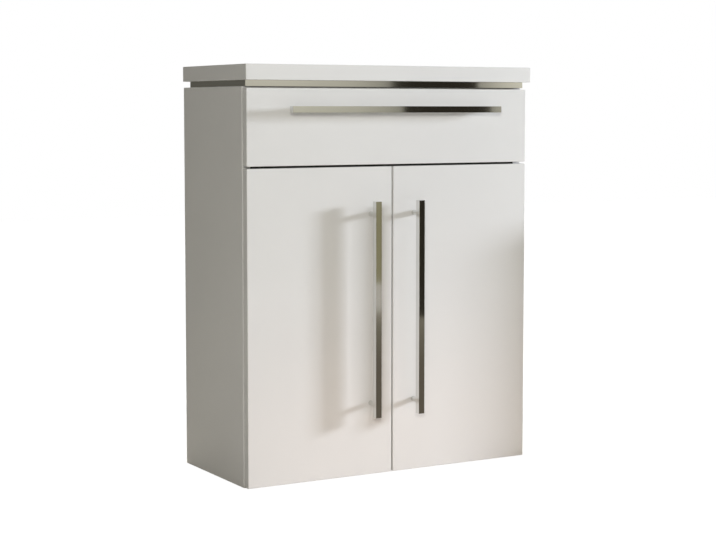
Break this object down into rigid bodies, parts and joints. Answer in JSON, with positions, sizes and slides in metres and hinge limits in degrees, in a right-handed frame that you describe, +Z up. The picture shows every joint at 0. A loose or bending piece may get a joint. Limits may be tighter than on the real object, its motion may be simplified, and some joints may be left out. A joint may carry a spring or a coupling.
{
  "type": "bathroom cabinet",
  "caption": "Wall-hung white bathroom cabinet with a drawer over hinged doors, bar handles and a thick top plate on a recessed bright trim.",
  "frame": {"origin": "centre of the cabinet's outer box, handles included, at the underside", "axes": "+Z up, fronts face -Y, +Y towards the wall, +X to the right seen from the front"},
  "size_m": [0.61, 0.3, 0.76],
  "materials": {
    "gloss_lacquer": "high-gloss white lacquer on fibreboard, as the fronts and the top plate",
    "side_lacquer": "gloss white faced board",
    "white_melamine": "satin white melamine-faced chipboard",
    "spacer_board": "dark grey faced chipboard, hidden behind the trim",
    "white_fibreboard": "white-lacquered thin fibreboard",
    "drawer_melamine": "white melamine-faced drawer boards",
    "polished_chrome": "polished chrome plate",
    "chrome_trim": "bright trim strip",
    "nickel_steel": "nickel-plated pressed steel",
    "zinc_runner": "bright zinc-plated rolled steel",
    "zinc_screw": "zinc-plated steel",
    "cast_zinc": "die-cast zinc",
    "beech": "plain beech",
    "clear_bumper": "clear soft polyurethane"
  },
  "bodies": {
    "cabinet": {"adjustable_shelf": "white_melamine", "back_panel": "white_fibreboard", "bottom_panel": "white_melamine", "cam_bolts": "zinc_screw", "cam_locks": "cast_zinc", "divider_panel": "white_melamine", "front_spacer": "spacer_board", "front_trim": "chrome_trim", "hanging_rail": "white_melamine", "hinge_arm_screws": "zinc_screw", "hinge_arms": "nickel_steel", "hinge_plate_screws": "zinc_screw", "hinge_plates": "nickel_steel", "left_runner_cabinet_member": "zinc_runner", "left_side_panel": "side_lacquer", "left_trim": "chrome_trim", "plate_screws": "zinc_screw", "rear_spacer": "spacer_board", "right_runner_cabinet_member": "zinc_runner", "right_side_panel": "side_lacquer", "right_trim": "chrome_trim", "runner_cabinet_screws": "zinc_screw", "shelf_pins": "zinc_screw", "side_spacers": "spacer_board", "top_plate": "gloss_lacquer", "upper_panel": "white_melamine", "wall_washers": "zinc_screw", "wood_dowels": "beech"},
    "drawer": {"drawer_front": "gloss_lacquer", "drawer_handle_bar": "polished_chrome", "drawer_handle_posts": "polished_chrome", "drawer_handle_screws": "zinc_screw", "drawer_bumpers": "clear_bumper", "drawer_left_side": "drawer_melamine", "drawer_right_side": "drawer_melamine", "drawer_box_front": "drawer_melamine", "drawer_box_back": "drawer_melamine", "drawer_floor": "white_fibreboard", "drawer_front_screws": "zinc_screw", "left_runner_drawer_member": "zinc_runner", "right_runner_drawer_member": "zinc_runner", "runner_drawer_screws": "zinc_screw"},
    "left_runner_middle": {"left_runner_middle_member": "zinc_runner"},
    "right_runner_middle": {"right_runner_middle_member": "zinc_runner"},
    "left_door": {"left_door": "gloss_lacquer", "left_handle_bar": "polished_chrome", "left_handle_posts": "polished_chrome", "left_handle_screws": "zinc_screw", "left_hinge_cups": "nickel_steel", "left_hinge_pins": "nickel_steel", "left_cup_screws": "zinc_screw", "left_door_bumpers": "clear_bumper"},
    "right_door": {"right_door": "gloss_lacquer", "right_handle_bar": "polished_chrome", "right_handle_posts": "polished_chrome", "right_handle_screws": "zinc_screw", "right_hinge_cups": "nickel_steel", "right_hinge_pins": "nickel_steel", "right_cup_screws": "zinc_screw", "right_door_bumpers": "clear_bumper"}
  },
  "joints": [
    {"name": "drawer_slide", "type": "slide", "parent": "cabinet", "child": "drawer", "axis": [0, -1, 0], "range_m": [0, 0.21]},
    {"name": "left_runner_middle_slide", "type": "slide", "parent": "cabinet", "child": "left_runner_middle", "axis": [0, -1, 0], "range_m": [0, 0.105]},
    {"name": "right_runner_middle_slide", "type": "slide", "parent": "cabinet", "child": "right_runner_middle", "axis": [0, -1, 0], "range_m": [0, 0.105]},
    {"name": "left_door_hinge", "type": "hinge", "parent": "cabinet", "child": "left_door", "pos_m": [-0.293, -0.1135, 0.2885], "axis": [0, 0, -1], "range_deg": [0, 95]},
    {"name": "right_door_hinge", "type": "hinge", "parent": "cabinet", "child": "right_door", "pos_m": [0.293, -0.1135, 0.2885], "axis": [0, 0, 1], "range_deg": [0, 95]}
  ],
  "couplings": [
    {"joint": "left_runner_middle_slide", "follows": "drawer_slide", "ratio": 0.5},
    {"joint": "right_runner_middle_slide", "follows": "drawer_slide", "ratio": 0.5}
  ]
}
